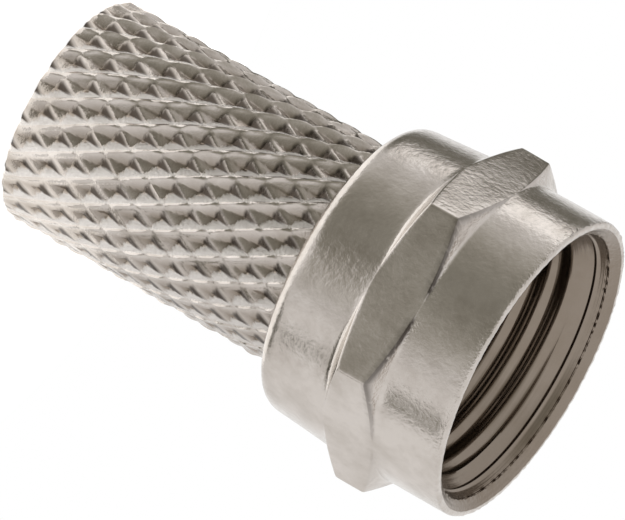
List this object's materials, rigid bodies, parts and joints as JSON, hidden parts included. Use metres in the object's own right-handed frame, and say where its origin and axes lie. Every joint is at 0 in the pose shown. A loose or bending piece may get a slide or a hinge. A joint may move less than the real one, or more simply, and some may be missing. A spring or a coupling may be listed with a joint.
{
  "type": "f connector",
  "caption": "Twist-on coaxial F connector: diamond-knurled cable sleeve with a freely turning hexagon coupling nut and threaded mouth.",
  "frame": {"origin": "centre of the sleeve's rear face, which the connector stands on", "axes": "+Z along the mating axis from the cable end to the threaded mouth; two corners of the nut's hexagon lie on the X axis"},
  "size_m": [0.0128, 0.0112, 0.0187],
  "materials": {
    "sleeve_nickel": "nickel plate, rolled knurl",
    "nut_nickel": "satin nickel plate with a fine pebble"
  },
  "bodies": {
    "sleeve": {"knurled_sleeve": "sleeve_nickel"},
    "nut": {"coupling_nut": "nut_nickel"}
  },
  "joints": [
    {"name": "nut_spin", "type": "hinge", "parent": "sleeve", "child": "nut", "pos_m": [0, 0, 0.0112], "axis": [0, 0, 1], "continuous": true}
  ]
}
